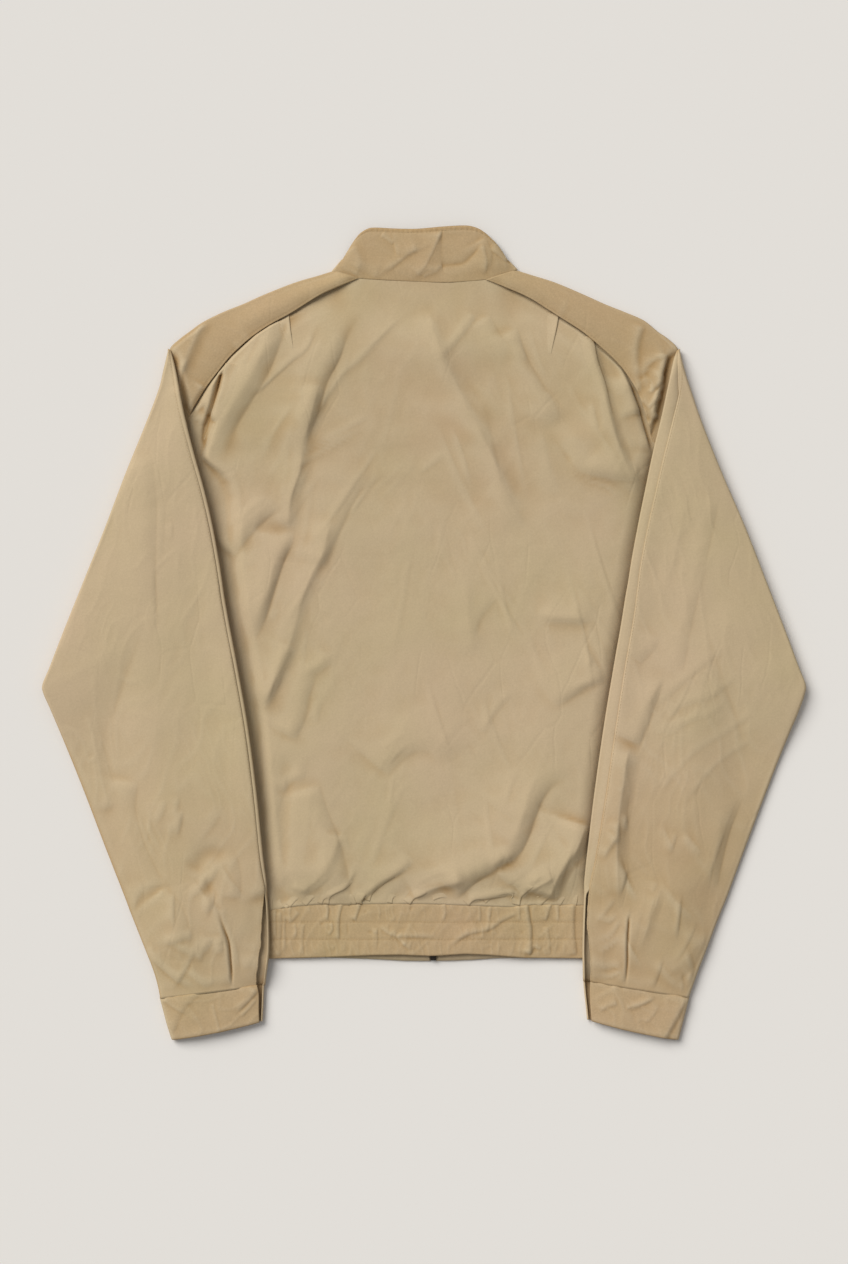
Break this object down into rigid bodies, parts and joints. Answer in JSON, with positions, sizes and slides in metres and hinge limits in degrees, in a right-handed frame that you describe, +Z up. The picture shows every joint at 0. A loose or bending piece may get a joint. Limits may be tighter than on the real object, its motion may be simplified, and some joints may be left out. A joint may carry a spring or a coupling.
{
  "type": "harrington jacket",
  "caption": "Casual zip-up cloth jacket lying face down, stand collar, saddle shoulders and gathered waistband, sleeves folded back over the back panel.",
  "frame": {"origin": "on the surface that the jacket lies on, under the middle of its outline", "axes": "+Z up from the surface, +Y from the hem to the collar, +X to the right seen from above"},
  "size_m": [0.7204, 0.7645, 0.0147],
  "materials": {
    "shell": "matt tan woven cotton",
    "zip_tape": "dark brown woven tape",
    "zip_metal": "dark coated metal"
  },
  "bodies": {
    "garment": {"back_panel": "shell", "collar": "shell", "cuff_left": "shell", "cuff_right": "shell", "front_left_panel": "shell", "front_right_panel": "shell", "sleeve_left_back": "shell", "sleeve_left_front": "shell", "sleeve_left_upper": "shell", "sleeve_right_back": "shell", "sleeve_right_front": "shell", "sleeve_right_upper": "shell", "tuck_left_inner": "shell", "tuck_left_outer": "shell", "tuck_right_inner": "shell", "tuck_right_outer": "shell", "waistband_back": "shell", "waistband_front_left": "shell", "waistband_front_right": "shell", "zip_box": "zip_metal", "zip_chain_left": "zip_metal", "zip_chain_right": "zip_metal", "zip_slider": "zip_metal", "zip_tape_left": "zip_tape", "zip_tape_right": "zip_tape"},
    "zip_pull_tab": {"zip_pull": "zip_metal"}
  },
  "joints": [
    {"name": "pull_swing", "type": "hinge", "parent": "garment", "child": "zip_pull_tab", "pos_m": [0.0087, 0.298, 0.00205], "axis": [1, 0, 0], "range_deg": [0, 165]}
  ]
}
